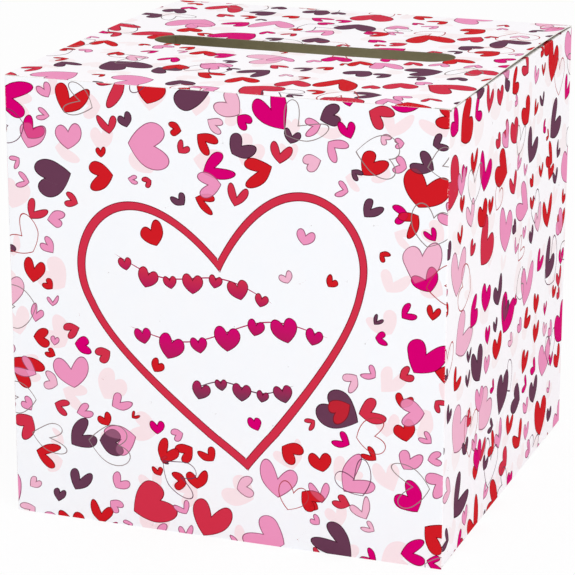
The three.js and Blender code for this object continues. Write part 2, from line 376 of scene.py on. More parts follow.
# The heart whose cell a place lies in, after the larger layers have had their room
def heartAt(tree, place, hearts, number, keepOut):
    values = cellValues(hearts, hearts["layers"][number], number)
    cell = group(tree, "heartCell", Place=place, **values)
    centre, radius = cell["Centre"], cell["Radius"]
    if keepOut:
        radius = keepOut(tree, centre, radius)
    for larger in range(number):
        otherCentre, otherRadius, _ = heartAt(tree, centre, hearts, larger, keepOut)
        room = times(tree, calc(tree, "ADD", radius, otherRadius), hearts["closeness"])
        room = times(tree, room, above(tree, otherRadius, 0.0))
        apart = vectorCalc(tree, "DISTANCE", centre, otherCentre)
        radius = times(tree, radius, above(tree, apart, room))
    return centre, radius, cell["Draw"]


def palette(tree, draw, shares):
    node = tree.nodes.new("ShaderNodeValToRGB")
    node.color_ramp.interpolation = "CONSTANT"
    stops = node.color_ramp.elements
    start = 0.0
    for index, (name, share) in enumerate(shares.items()):
        stop = stops[index] if index < 2 else stops.new(start)
        stop.position = start
        stop.color = inks[name]
        start += share
    parts = split(tree, draw)
    first, second = heartDraws["colour"]
    value = timesPlus(tree, parts[0], first, times(tree, parts[2], second))
    feed(tree, node, {0: calc(tree, "FRACT", value)})
    return node.outputs[0]


# The same place, but worked out only once the ink before it is known. Without this the shader
# would hold every heart at once and run out of room. Ink is never over 1, so nothing is added.
def placeAfter(tree, place, inked):
    return vectorCalc(tree, "ADD", place, above(tree, inked, 2.0))


rimShade = (0.36, 0.28, 0.31, 1.0)    # a heart's own colour is darkened by this at its rim


# Adds one filled heart, with its darker line, to the colour and to the share of ink
def addHeart(tree, colour, inked, depth, fill, rim, opaque=1.0):
    inside = above(tree, depth, 0.0)
    onRim = below(tree, depth, rim)
    fill = mixed(tree, onRim, fill, rimShade, "MULTIPLY")
    colour = mixed(tree, times(tree, inside, opaque), colour, fill)
    return colour, calc(tree, "MAXIMUM", inked, inside)


# A heart of one of the kinds that may lie over or under others
def looseHeart(tree, place, hearts, kind, keepOut):
    layer = hearts[kind]
    cell = group(tree, "heartCell", Place=place, **cellValues(hearts, layer, layer["number"]))
    radius = keepOut(tree, cell["Centre"], cell["Radius"]) if keepOut else cell["Radius"]
    return (heartDepth(tree, place, cell["Centre"], radius, cell["Draw"], hearts["turn"]),
            cell["Draw"])


def strewnHearts(tree, place, colour, hearts, keepOut=None):
    inked = 0.0
    rim = hearts["rim"] * mm
    depth, draw = looseHeart(tree, place, hearts, "pale", keepOut)
    pale = above(tree, depth, 0.0)
    colour = mixed(tree, pale, colour, inks[hearts["paleInk"]])
    place = placeAfter(tree, place, pale)
    for number in range(len(hearts["layers"])):
        centre, radius, draw = heartAt(tree, place, hearts, number, keepOut)
        depth = heartDepth(tree, place, centre, radius, draw, hearts["turn"])
        fill = palette(tree, draw, hearts["shares"])
        colour, inked = addHeart(tree, colour, inked, depth, fill, rim)
        place = placeAfter(tree, place, inked)
    # the hearts below show through these a little
    depth, draw = looseHeart(tree, place, hearts, "over", keepOut)
    opaque = timesPlus(tree, inked, -hearts["showThrough"], 1.0)
    fill = palette(tree, draw, hearts["overShares"])
    colour, inked = addHeart(tree, colour, inked, depth, fill, rim, opaque)
    place = placeAfter(tree, place, inked)
    depth, draw = looseHeart(tree, place, hearts, "open", keepOut)
    line = below(tree, calc(tree, "ABSOLUTE", depth), hearts["openLine"] * mm)
    return mixed(tree, line, colour, palette(tree, draw, hearts["lines"])), inked


# The coated side of the board, with or without print
coat = {
    "frontPaper": (ink(246, 249, 254), ink(250, 250, 252)),
    "sidePaper": (ink(254, 250, 254), ink(251, 250, 252)),
    "roughPaper": 0.4,
    "roughInk": 0.33,
    "gloss": 0.001,
    "cloudNoise": 45.0,
    "cloudRough": 0.06,
    "fibre": 0.008 * mm,     # height of the fibres under the coat
    "fibreNoise": 1100.0,
    "wave": 0.05 * mm,       # slow waves of the sheet
    "waveNoise": 14.0,
    "wear": ink(238, 234, 230),
    "wearNoise": 900.0,
    "wearFrom": 0.6,         # level of the noise from which a fold is rubbed
    "wearShare": 0.45,
    "wearRough": 0.4,
}


def newMaterial(name):
    material = bpy.data.materials.new(name)
    material.use_nodes = True
    return material, material.node_tree, material.node_tree.nodes["Principled BSDF"]


def sheetPlace(tree):
    node = tree.nodes.new("ShaderNodeUVMap")
    node.uv_map = "sheet"
    return node.outputs[0]


def addBump(tree, shader, height, distance=1.0):
    node = tree.nodes.new("ShaderNodeBump")
    feed(tree, node, {"Strength": 1.0, "Distance": distance, "Height": height})
    feed(tree, shader, {"Normal": node.outputs[0]})


def coatedBoard(name, printOn, paper="sidePaper"):
    material, tree, shader = newMaterial(name)
    place = sheetPlace(tree)
    cloud = noise(tree, place, coat["cloudNoise"], 3.0)
    colour, inked = printOn(tree, place, mixed(tree, cloud, *coat[paper]))
    # folds lose a little of their coat
    fold = tree.nodes.new("ShaderNodeAttribute")
    fold.attribute_name = "fold"
    rubbed = times(tree, fold.outputs["Fac"], noise(tree, place, coat["wearNoise"], 3.0))
    rubbed = above(tree, rubbed, coat["wearFrom"])
    rubbed = times(tree, rubbed, coat["wearShare"])
    colour = mixed(tree, rubbed, colour, coat["wear"])
    smoother = coat["roughInk"] - coat["roughPaper"]
    rough = timesPlus(tree, inked, smoother, coat["roughPaper"])
    rough = timesPlus(tree, cloud, coat["cloudRough"], rough)
    rough = timesPlus(tree, rubbed, coat["wearRough"], rough)
    feed(tree, shader, {"Base Color": colour, "Roughness": rough})
    shader.inputs["Specular IOR Level"].default_value = coat["gloss"]
    height = times(tree, noise(tree, place, coat["fibreNoise"], 4.0), coat["fibre"])
    waves = noise(tree, place, coat["waveNoise"], 1.0)
    addBump(tree, shader, timesPlus(tree, waves, coat["wave"], height))
    return material


def sidePrint(tree, place, paper):
    return strewnHearts(tree, place, paper, sideHearts)


def noPrint(tree, place, paper):
    return paper, 0.0


# Strings of hearts, and a few single ones, inside the large heart, in millimetres
frontStrings = [
    {"centre": (-20, 27), "half": 48, "pitch": 16, "radius": 9.6, "slope": -0.16, "wave": 5,
     "inks": ("berry", "rose")},
    {"centre": (4, -7), "half": 60, "pitch": 20, "radius": 12, "slope": 0.1, "wave": 7,
     "inks": ("berry", "magenta")},
    {"centre": (14, -44), "half": 29, "pitch": 14.5, "radius": 8.7, "slope": 0.08, "wave": -3.5,
     "inks": ("plum", "berry")},
]
stringForm = {
    "width": 0.9 * mm,
    "thinning": 6.0,           # the higher, the nearer to its ends it thins out
    "smaller": 0.34,           # share that every other heart is smaller by
    "hang": 0.38,              # of a heart's radius, below the string
    "lean": 0.28,
    "leanStep": 2.4,           # radians of the lean's wave from heart to heart
    "draw": (0.7174, 0.6311, 0.5),
    "shade": (0.5, 0.6),       # of the two inks at a heart's middle, and how it grows upwards
}
frontSingles = [
    {"centre": (-48, 54), "radius": 11, "ink": "red", "draw": (0.42, 0.63, 0.4)},
    {"centre": (58, 62), "radius": 8, "ink": "pink", "draw": (0.56, 0.2, 0.7)},
    {"centre": (76, 34), "radius": 5.5, "ink": "red", "draw": (0.6, 0.4, 0.3)},
    {"centre": (45, 34), "radius": 6, "ink": "lightPink", "draw": (0.4, 0.8, 0.6)},
    {"centre": (-46, -36), "radius": 6.5, "ink": "red", "draw": (0.62, 0.9, 0.2)},
    {"centre": (23, -68), "radius": 6.5, "ink": "magenta", "draw": (0.45, 0.3, 0.1)},
]


def outsideBigHeart(tree, centre, radius):
    gap = group(tree, "bigHeartGap", Place=centre)["Gap"]
    least = bigHeart["line"] / 2 + bigHeart["clear"]
    room = timesPlus(tree, radius, bigHeart["clearShare"], least)
    return times(tree, radius, above(tree, gap, room))


def stringHeight(tree, string, across):
    swell = calc(tree, "SINE", times(tree, across, math.pi / (string["half"] * mm)))
    slope = timesPlus(tree, across, string["slope"], string["centre"][1] * mm)
    return timesPlus(tree, swell, string["wave"] * mm, slope)


def addString(tree, place, colour, inked, string, rim):
    parts = split(tree, place)
    middle = string["centre"][0] * mm
    across = minus(tree, parts[0], middle)
    pitch, radius = string["pitch"] * mm, string["radius"] * mm
    away = minus(tree, parts[1], stringHeight(tree, string, across))
    # it thins out at its ends
    spread = calc(tree, "DIVIDE", calc(tree, "ABSOLUTE", across), string["half"] * mm + pitch * 0.5)
    thick = minus(tree, 1.0, calc(tree, "POWER", spread, stringForm["thinning"]))
    thick = times(tree, thick, stringForm["width"] / 2)
    onString = below(tree, calc(tree, "ABSOLUTE", away), thick)
    colour = mixed(tree, onString, colour, inks[string["inks"][0]])
    # every other heart is smaller
    step = calc(tree, "ROUND", calc(tree, "DIVIDE", across, pitch))
    odd = calc(tree, "FRACT", calc(tree, "ABSOLUTE", calc(tree, "DIVIDE", step, 2.0)))
    size = timesPlus(tree, odd, -2 * stringForm["smaller"] * radius, radius)
    last = string["half"] / string["pitch"] + 0.5
    size = times(tree, size, below(tree, calc(tree, "ABSOLUTE", step), last))
    heartX = times(tree, step, pitch)
    level = stringHeight(tree, string, heartX)
    height = timesPlus(tree, size, -stringForm["hang"], level)
    centre = join(tree, calc(tree, "ADD", heartX, middle), height, 0.0)
    lean = calc(tree, "SINE", times(tree, step, stringForm["leanStep"]))
    lean = times(tree, lean, stringForm["lean"])
    depth = heartDepth(tree, place, centre, size, stringForm["draw"], lean)
    shade = calc(tree, "DIVIDE", minus(tree, parts[1], height), size)
    shade = timesPlus(tree, shade, stringForm["shade"][1], stringForm["shade"][0])
    fill = mixed(tree, shade, *(inks[name] for name in string["inks"]))
    return addHeart(tree, colour, calc(tree, "MAXIMUM", inked, onString), depth, fill, rim)


def frontPrint(tree, place, paper):
    colour, inked = strewnHearts(tree, place, paper, frontHearts, outsideBigHeart)
    rim = frontHearts["rim"] * mm
    place = placeAfter(tree, place, inked)
    gap = group(tree, "bigHeartGap", Place=place)["Gap"]
    # the line swells and thins as a brush does
    swelling = noise(tree, place, bigHeart["brushNoise"], 0.0)
    thinnest = (bigHeart["line"] - bigHeart["brush"]) / 2
    halfLine = timesPlus(tree, swelling, bigHeart["brush"], thinnest)
    line = minus(tree, halfLine, calc(tree, "ABSOLUTE", gap))
    colour, inked = addHeart(tree, colour, inked, line, inks["rose"], rim)
    for string in frontStrings:
        place = placeAfter(tree, place, inked)
        colour, inked = addString(tree, place, colour, inked, string, rim)
    for single in frontSingles:
        place = placeAfter(tree, place, inked)
        centre = (single["centre"][0] * mm, single["centre"][1] * mm, 0.0)
        depth = heartDepth(tree, place, centre, single["radius"] * mm, single["draw"], 1.0)
        colour, inked = addHeart(tree, colour, inked, depth, inks[single["ink"]], rim)
    return colour, inked


# Where the sides lie on the endless sheet of print, in metres, so that no two are the same
printAt = {"right": 1.0, "back": 2.0, "left": 3.0, "lid": 4.0, "bottom": 5.0}

# The bare grey-brown side of the board, with fibres and specks of old paper
bareSide = {
    "light": ink(172, 166, 140),
    "dark": ink(148, 141, 113),
    "cloudNoise": 60.0,
    "speck": ink(96, 88, 74),
    "speckNoise": 1300.0,
    "speckFrom": 0.76,
    "speckShare": 0.6,
    "fibreNoise": (260.0, 1500.0, 1.0),    # along and across the fibres
    "fibreFrom": 0.68,
    "fibreShare": 0.35,
    "rough": (0.88, 0.08),                 # the least, and how much more it may be
    "roughNoise": 400.0,
    "gloss": 0.25,
    "grain": 0.05 * mm,
    "grainNoise": 900.0,
}
cutEdge = {
    "light": ink(248, 246, 243),
    "dark": ink(230, 226, 219),
    "noise": 700.0,
    # painted shade for the slot's cut edge, the colour of the box's shaded inside
    "paintedSlotShade": ink(128, 122, 98),
    "slot": (printAt["lid"], 151.4 * mm, 0.0),     # the slot's middle on the sheet
    "slotShadeHalf": (120 * mm, 20 * mm),               # of the area that holds only its edge, where that edge gets painted shade
}


# The pale, mottled cut edge, with painted shade on it round the slot
def cutColour(tree, place):
    mottled = noise(tree, place, cutEdge["noise"], 3.0)
    colour = mixed(tree, mottled, cutEdge["light"], cutEdge["dark"])
    # painted shade: the cut edge round the slot is darkened to the colour of the box's shaded
    # inside
    away = vectorCalc(tree, "SUBTRACT", place, cutEdge["slot"])
    away = split(tree, vectorCalc(tree, "ABSOLUTE", away))
    near = [below(tree, away[axis], cutEdge["slotShadeHalf"][axis]) for axis in (0, 1)]
    return mixed(tree, times(tree, *near), colour, cutEdge["paintedSlotShade"])


def bareColour(tree, place):
    clouds = noise(tree, place, bareSide["cloudNoise"], 4.0)
    colour = mixed(tree, clouds, bareSide["light"], bareSide["dark"])
    # long thin fibres that lie mostly along the sheet
    stretched = vectorCalc(tree, "MULTIPLY", place, bareSide["fibreNoise"])
    fibres = above(tree, noise(tree, stretched, 1.0, 3.0), bareSide["fibreFrom"])
    fibres = times(tree, fibres, bareSide["fibreShare"])
    colour = mixed(tree, fibres, colour, bareSide["speck"])
    specks = noise(tree, place, bareSide["speckNoise"], 1.0)
    specks = above(tree, specks, bareSide["speckFrom"])
    specks = times(tree, specks, bareSide["speckShare"])
    return mixed(tree, specks, colour, bareSide["speck"])


def bareBoard(name, paint):
    material, tree, shader = newMaterial(name)
    place = sheetPlace(tree)
    colour = paint(tree, place)
    least, more = bareSide["rough"]
    rough = timesPlus(tree, noise(tree, place, bareSide["roughNoise"], 2.0), more, least)
    feed(tree, shader, {"Base Color": colour, "Roughness": rough})
    shader.inputs["Specular IOR Level"].default_value = bareSide["gloss"]
    grain = noise(tree, place, bareSide["grainNoise"], 5.0)
    addBump(tree, shader, times(tree, grain, bareSide["grain"]))
    return material


frontPrinted = coatedBoard("frontPrint", frontPrint, "frontPaper")
sidePrinted = coatedBoard("sidePrint", sidePrint)
plainCoat = coatedBoard("plainCoat", noPrint)
bareInside = bareBoard("bareInside", bareColour)
cutBoard = bareBoard("cutEdge", cutColour)
print("materials ready")

# The closed carton and its board
box = {
    "width": 304.8 * mm,
    "depth": 304.8 * mm,
    "height": 304.8 * mm,
    "thickness": 0.7 * mm,
    "bendRadius": 1.0 * mm,
    "flapGap": 0.3 * mm,
    "tuckGap": 0.3 * mm,
    "lidSideGap": 1.0 * mm,
    "seam": 0.85 * mm,        # the board and the glue under the left panel
    "quarterSteps": 10,       # facets of a quarter bend
    "rubWidth": 1.2 * mm,     # of the strip beside a bend where the wear fades out
    "cornerSegments": 8,
    "grid": 13 * mm,          # of the cuts that let a panel swell
    "domePower": 1.5,         # the higher, the more a swelling keeps to the middle
}
quarter = math.pi / 2
flapLevel = box["thickness"] + box["flapGap"]
tuckLevel = box["thickness"] + box["tuckGap"]
sideFlat = box["depth"] - 2 * box["bendRadius"]
frontFlat = box["width"] - 2 * box["bendRadius"]
sideFoot = flapLevel + box["bendRadius"]
sideHeight = box["height"] - 2 * sideFoot
backHeight = box["height"] - 2 * box["bendRadius"]
lidFlat = box["depth"] - tuckLevel - 2 * box["bendRadius"]
lidWidth = box["width"] - 2 * box["lidSideGap"]
seamEnd = frontFlat / 2 - box["seam"]


def bendSteps(angle):
    return max(2, round(box["quarterSteps"] * angle / quarter))


# Length of the outer skin in a bend, along its facets
def bendReach(angle):
    steps = bendSteps(angle)
    return 2 * box["bendRadius"] * math.sin(angle / steps / 2) * steps


def placement(right, up, out, origin):
    return Matrix([*zip(right, up, out, origin), (0, 0, 0, 1)])


# Where each side of the box lies: x runs to its right seen from outside, y up, z out
places = {
    "front": placement((1, 0, 0), (0, 0, 1), (0, -1, 0), (0, -box["depth"] / 2, 0)),
    "right": placement((0, 1, 0), (0, 0, 1), (1, 0, 0), (box["width"] / 2, 0, sideFoot)),
    "back": placement((-1, 0, 0), (0, 0, 1), (0, 1, 0), (0, box["depth"] / 2, box["bendRadius"])),
    "left": placement((0, -1, 0), (0, 0, 1), (-1, 0, 0), (-box["width"] / 2, 0, sideFoot)),
    "lid": placement((-1, 0, 0), (0, -1, 0), (0, 0, 1), (0, frontFlat / 2, box["height"])),
    "bottom": placement((1, 0, 0), (0, -1, 0), (0, 0, -1), (0, frontFlat / 2, 0)),
}


def addObject(name, data):
    added = bpy.data.objects.new(name, data)
    bpy.context.scene.collection.objects.link(added)
    return added


# A sheet starts as its flat outline. A corner may have a radius, and there may be one long hole.
def cutSheet(corners, hole=None):
    bm = bmesh.new()
    points = [bm.verts.new((corner[0], corner[1], 0)) for corner in corners]
    face = bm.faces.new(points)
    for radius in sorted({corner[2] for corner in corners if len(corner) > 2}):
        rounded = [v for v, corner in zip(points, corners) if corner[2:] == (radius,)]
        bmesh.ops.bevel(
            bm, geom=rounded, offset=radius, offset_type="OFFSET", segments=box["cornerSegments"],
            profile=0.5, affect="VERTICES", material=-1)
    if hole:
        bmesh.ops.delete(bm, geom=bm.faces[:], context="FACES_ONLY")
        ring = bmesh.ops.create_circle(
            bm, cap_ends=False, segments=hole["segments"], radius=hole["width"] / 2,
            matrix=Matrix.Translation((0, hole["at"], 0)))["verts"]
        straight = (hole["length"] - hole["width"]) / 2
        for sign in (1, -1):
            half = [v for v in ring if v.co.x * sign > 0]
            bmesh.ops.translate(bm, verts=half, vec=(sign * straight, 0, 0))
        bmesh.ops.triangle_fill(
            bm, use_beauty=True, use_dissolve=False, edges=bm.edges[:], normal=(0, 0, 1))
    return bm


def cutLines(bm, axis, lines):
    for line in lines:
        point, normal = [0, 0, 0], [0, 0, 0]
        point[axis], normal[axis] = line, 1
        bmesh.ops.bisect_plane(bm, geom=bm.verts[:] + bm.edges[:] + bm.faces[:], dist=1e-6,
                               plane_co=point, plane_no=normal)


def gridLines(low, high):
    count = max(1, round((high - low) / box["grid"]))
    return [low + (high - low) * i / count for i in range(count + 1)]


def bendLines(bend):
    steps = bendSteps(bend["angle"])
    chord = bendReach(bend["angle"]) / steps
    return [bend["at"] + bend["sign"] * chord * i for i in range(steps + 1)]


# Folds away from the print whatever lies past a bend's start, one facet after the other
def foldSheet(bm, flat, bend):
    lines = bendLines(bend)
    steps = len(lines) - 1
    for number in range(steps, -1, -1):
        line = lines[number]
        share = 0.5 if number in (0, steps) else 1.0
        beyond = [v for v in bm.verts if (flat[v.index][bend["axis"]] - line) * bend["sign"] > 1e-6]
        turn = share * bend["angle"] / steps * bend["sign"] * (1 if bend["axis"] == 0 else -1)
        centre = [0, 0, 0]
        centre[bend["axis"]] = line
        matrix = Matrix.Rotation(turn, 3, "Y" if bend["axis"] == 0 else "X")
        bmesh.ops.rotate(bm, verts=beyond, cent=centre, matrix=matrix)


# Makes a piece of board: cut, marked with its place on the print, swollen, folded and put in place
def makeBoard(name, side, corners, bends=(), swell=None, printed=sidePrinted, plainPast=None,
              shift=(0, 0), grid=((0, 0), (0, 0)), hole=None, cut=cutBoard):
    bm = cutSheet(corners, hole)
    for axis in (0, 1):
        if grid[axis][1] > grid[axis][0]:
            cutLines(bm, axis, gridLines(*grid[axis]))
    for bend in bends:
        rub = bend["at"] - bend["sign"] * box["rubWidth"]
        cutLines(bm, bend["axis"], [rub, *bendLines(bend)])
    if plainPast:
        cutLines(bm, plainPast[0], [plainPast[1]])
    bm.normal_update()
    bmesh.ops.reverse_faces(bm, faces=[face for face in bm.faces if face.normal.z < 0])
    sheet = bm.loops.layers.uv.new("sheet")
    fold = bm.verts.layers.float.new("fold")
    for face in bm.faces:
        face.smooth = True
        middle = face.calc_center_median()
        if plainPast and (middle[plainPast[0]] - plainPast[1]) * plainPast[2] > 0:
            face.material_index = 2
        for loop in face.loops:
            loop[sheet].uv = (loop.vert.co.x + shift[0], loop.vert.co.y + shift[1])
    for vert in bm.verts:
        for bend in bends:
            start = (vert.co[bend["axis"]] - bend["at"]) * bend["sign"] / bendReach(bend["angle"])
            vert[fold] = max(vert[fold], 1.0 if 0.0 <= start <= 1.0 else 0.0)
    for edge in bm.edges:
        edge.smooth = not edge.is_boundary
    bm.verts.index_update()
    flat = [v.co.copy() for v in bm.verts]
    if swell:
        for vert in bm.verts:
            vert.co.z += swell(vert.co.x, vert.co.y)
    for bend in bends:
        foldSheet(bm, flat, bend)
    bmesh.ops.transform(bm, matrix=places[side], verts=bm.verts[:])
    mesh = bpy.data.meshes.new(name)
    bm.to_mesh(mesh)
    bm.free()
    slots = [printed, bareInside, cut]
    if plainPast:
        slots[2:2] = [plainCoat, bareInside]
    for material in slots:
        mesh.materials.append(material)
    piece = addObject(name, mesh)
    board = piece.modifiers.new("boardThickness", "SOLIDIFY")
    board.thickness = box["thickness"]
    board.offset = -1
    board.use_even_offset = True
    board.material_offset = 1
    board.material_offset_rim = len(slots) - 1
    return piece


# A dome that is flat along the edges that x and y limits name
def dome(height, x, y, xLimits, yLimits):
    shares = []
    for value, limits in ((x, xLimits), (y, yLimits)):
        if limits is None:
            shares.append(1.0)
            continue
        share = (value - limits[0]) / (limits[1] - limits[0])
        shares.append(math.sin(math.pi * min(1, max(0, share))) ** box["domePower"])
    return height * shares[0] * shares[1]


# The four walls. Each ends in the middle of its vertical folds.
walls = {
    "frontSwell": 0.6 * mm,
    "frontBeyond": 100 * mm,   # it runs on past the front's two free edges by this
    "sideSwell": 0.4 * mm,
    "edgeDrop": 0.4 * mm,      # the front's cut edge lies below the lid
    "seamSetback": 0.4 * mm,
}
halfFold = bendReach(quarter / 2)
toRight = {"axis": 0, "at": frontFlat / 2, "sign": 1, "angle": quarter / 2}
toLeft = {"axis": 0, "at": -frontFlat / 2, "sign": -1, "angle": quarter / 2}
foldEnd = frontFlat / 2 + halfFold
panelLimits = (-frontFlat / 2, frontFlat / 2)

frontTop = box["height"] - walls["edgeDrop"]
frontLimits = (-walls["frontBeyond"], box["height"] + walls["frontBeyond"])
frontPanel = makeBoard(
    "frontPanel", "front", [(-foldEnd, 0), (foldEnd, 0), (foldEnd, frontTop), (-foldEnd, frontTop)],
    bends=(toRight, toLeft), printed=frontPrinted, shift=(0, -box["height"] / 2),
    swell=lambda x, y: dome(walls["frontSwell"], x, y, panelLimits, frontLimits),
    grid=(panelLimits, (0, frontTop)))
rightPanel = makeBoard(
    "rightPanel", "right",
    [(-foldEnd, 0), (foldEnd, 0), (foldEnd, sideHeight), (-foldEnd, sideHeight)],
    bends=(toRight, toLeft), shift=(printAt["right"], 0),
    swell=lambda x, y: dome(walls["sideSwell"], x, y, panelLimits, (0, sideHeight)),
    grid=(panelLimits, (0, sideHeight)))
backPanel = makeBoard(
    "backPanel", "back",
    [(-foldEnd, 0), (seamEnd, 0), (seamEnd, backHeight), (-foldEnd, backHeight)],
    bends=(toLeft,), shift=(printAt["back"], 0),
    swell=lambda x, y: dome(walls["sideSwell"], x, y, (-frontFlat / 2, seamEnd), (0, backHeight)),
    grid=((-frontFlat / 2, seamEnd), (0, backHeight)))
leftEnd = -sideFlat / 2 - box["bendRadius"] + walls["seamSetback"]
leftPanel = makeBoard(
    "leftPanel", "left", [(leftEnd, 0), (foldEnd, 0), (foldEnd, sideHeight), (leftEnd, sideHeight)],
    bends=(toRight,), shift=(printAt["left"], 0),
    swell=lambda x, y: dome(walls["sideSwell"], x, y, panelLimits, (0, sideHeight)),
    grid=(panelLimits, (0, sideHeight)))
for piece, node in ((frontPanel, "front_panel"), (rightPanel, "right_panel"),
                    (backPanel, "back_panel"), (leftPanel, "left_panel")):
    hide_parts(node)
    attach(piece, "sleeve")
print("walls ready")

# The glue flap folds on from the back panel, inside the left one
seam = {"width": 18 * mm, "endGap": 4 * mm, "taper": math.radians(60), "cornerRadius": 3 * mm}
seamBend = {"axis": 0, "at": seamEnd, "sign": 1, "angle": quarter}
flapStart = seamEnd + bendReach(quarter)
flapEnd = flapStart + seam["width"]
slope = seam["width"] / math.tan(seam["taper"])
low, high = seam["endGap"], backHeight - seam["endGap"]
glueFlap = makeBoard(
    "glueFlap", "back",
    [(seamEnd, low), (flapStart, low), (flapEnd, low + slope, seam["cornerRadius"]),
     (flapEnd, high - slope, seam["cornerRadius"]), (flapStart, high), (seamEnd, high)],
    bends=(seamBend,), printed=plainCoat, cut=bareInside)
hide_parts("glue_flap")
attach(glueFlap, "sleeve")

# The lid and the bottom, each hinged on the back panel, with slits beside the tuck flap's crease
closing = {
    "slit": 9 * mm,
    "slitGap": 0.3 * mm,
    "endRelief": 0.5 * mm,
    "slot": {"length": 219 * mm, "width": 32 * mm, "at": frontFlat / 2,
             "segments": 114},     # no corner at the middle of the long sides
    "lidLift": 2.5 * mm,       # how far the lid's side edges stand up
    "lidMiddle": 0.1,          # share of that in the middle
    "lidCurl": 5,              # the higher, the nearer to the edges it starts
    "lidBias": 0.6,            # under 1 the highest place moves towards the back
    "lidSpread": 1.0 * mm,     # how far they reach out towards the side panels
    "bottomLift": 0.3 * mm,
    "bleed": 4 * mm,           # print that runs on past the crease of a side flap
}
hingeBend = {"axis": 1, "at": 0.0, "sign": -1, "angle": quarter}
hingeReach = bendReach(quarter)
hingeRight = frontFlat / 2 - closing["endRelief"]
hingeLeft = -seamEnd + closing["endRelief"]


def closingCorners(hingeFrom, hingeTo, spread=0.0):
    edge = lidWidth / 2 + spread
    slitAt = lidWidth / 2 - closing["slit"]
    reach = lidFlat + box["bendRadius"] - closing["slitGap"]
    return [(hingeFrom, -hingeReach), (hingeTo, -hingeReach), (hingeTo, 0), (edge, 0),
            (edge, reach), (slitAt, reach), (slitAt, lidFlat), (-slitAt, lidFlat),
            (-slitAt, reach), (-edge, reach), (-edge, 0), (hingeFrom, 0)]


def lidLift(x, y):
    # it stands highest at its side edges, towards the back
    share = min(1, max(0, y / lidFlat))
    along = math.sin(math.pi * share ** closing["lidBias"])
    outward = (abs(x) / (lidWidth / 2)) ** closing["lidCurl"]
    middle = closing["lidMiddle"]
    return closing["lidLift"] * along * (middle + (1 - middle) * outward)


panelGrid = ((-lidWidth / 2, lidWidth / 2), (0, lidFlat))
lidCorners = closingCorners(-hingeRight, -hingeLeft, closing["lidSpread"])
lidPanel = makeBoard(
    "lidPanel", "lid", lidCorners, bends=(hingeBend,), shift=(printAt["lid"], 0),
    swell=lidLift, grid=panelGrid, hole=closing["slot"])
bottomPanel = makeBoard(
    "bottomPanel", "bottom", closingCorners(hingeLeft, hingeRight), bends=(hingeBend,),
    shift=(printAt["bottom"], 0), printed=plainCoat, grid=panelGrid,
    swell=lambda x, y: -dome(closing["bottomLift"], x, y, None, (0, lidFlat)))

# The tuck flaps. They lean in a little, and are free at their ends.
tuck = {
    "depth": 27 * mm,
    "lean": math.radians(7),
    "sideGap": 1.2 * mm,
    "taper": math.radians(6),
    "corner": 15 * mm,
}
tuckBend = {"axis": 1, "at": lidFlat, "sign": 1, "angle": quarter + tuck["lean"]}
tuckStart = lidFlat + bendReach(tuckBend["angle"])
creaseEnd = lidWidth / 2 - closing["slit"] - closing["slitGap"]
tuckHalf = lidWidth / 2 - tuck["sideGap"]
tuckTip = tuckHalf - tuck["depth"] * math.tan(tuck["taper"])
tuckEnd = tuckStart + tuck["depth"]
tuckCorners = [
    (-creaseEnd, lidFlat), (creaseEnd, lidFlat), (creaseEnd, tuckStart), (tuckHalf, tuckStart),
    (tuckTip, tuckEnd, tuck["corner"]), (-tuckTip, tuckEnd, tuck["corner"]),
    (-tuckHalf, tuckStart), (-creaseEnd, tuckStart)]
tuckGrid = ((-creaseEnd, creaseEnd), (0, 0))
lidTuckFlap = makeBoard(
    "lidTuckFlap", "lid", tuckCorners, bends=(tuckBend,), shift=(printAt["lid"], 0), grid=tuckGrid)
bottomTuckFlap = makeBoard(
    "bottomTuckFlap", "bottom", tuckCorners, bends=(tuckBend,), printed=plainCoat, grid=tuckGrid)

for name, panel, flap, level, sign in (
        ("lid", lidPanel, lidTuckFlap, box["height"], 1),
        ("bottom", bottomPanel, bottomTuckFlap, 0.0, -1)):
    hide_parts(name + "_panel")
    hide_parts(name + "_tuck_flap")
    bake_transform(panel)
    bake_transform(flap)
print("lid and bottom ready")

# The four dust flaps, on the side panels
dust = {
    "frontGap": 2.9 * mm,
    "backGap": 1.6 * mm,
    "frontShoulder": 8 * mm,
    "frontTaper": math.radians(12),
    "backShoulder": 2.6 * mm,
    "backTaper": math.radians(45),
    "corner": 7 * mm,
    "slotGap": 5 * mm,
    "droop": {"right": math.radians(10), "left": math.radians(0.5)},    # of the top ones
}
reach = (box["width"] - closing["slot"]["length"]) / 2 - dust["slotGap"] - box["bendRadius"]
frontSlope = (reach - dust["frontShoulder"]) * math.tan(dust["frontTaper"])
backSlope = (reach - dust["backShoulder"]) * math.tan(dust["backTaper"])
frontEnd, backEnd = -sideFlat / 2 + dust["frontGap"], sideFlat / 2 - dust["backGap"]
for level, crease, up in (("top", sideHeight, 1), ("bottom", 0.0, -1)):
    for side, toward in (("right", 1), ("left", -1)):
        angle = quarter + (dust["droop"][side] if level == "top" else 0.0)
        foldOut = bendReach(angle)
        dustCorners = [
            (frontEnd, 0), (backEnd, 0), (backEnd, foldOut + dust["backShoulder"]),
            (backEnd - backSlope, foldOut + reach, dust["corner"]),
            (frontEnd + frontSlope, foldOut + reach, dust["corner"]),
            (frontEnd, foldOut + dust["frontShoulder"])]
        corners = [(across * toward, crease + out * up, *radius)
                   for across, out, *radius in dustCorners]
        if toward * up < 0:
            corners.reverse()
        flap = makeBoard(
            level + side.capitalize() + "DustFlap", side, corners, shift=(printAt[side], 0),
            bends=({"axis": 1, "at": crease, "sign": up, "angle": angle},),
            plainPast=(1, crease + (foldOut + closing["bleed"]) * up, up))
        node = level + "_" + side + "_dust"
        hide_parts(node + "_flap")
        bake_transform(flap)
print("dust flaps ready")


# The film of glue keeps its CAD solid
glue = {
    "light": ink(238, 230, 204),
    "dark": ink(214, 200, 164),
    "streaks": (400.0, 400.0, 40.0),    # they run up the seam
    "rough": (0.35, 0.2),
    "relief": 0.05 * mm,
}


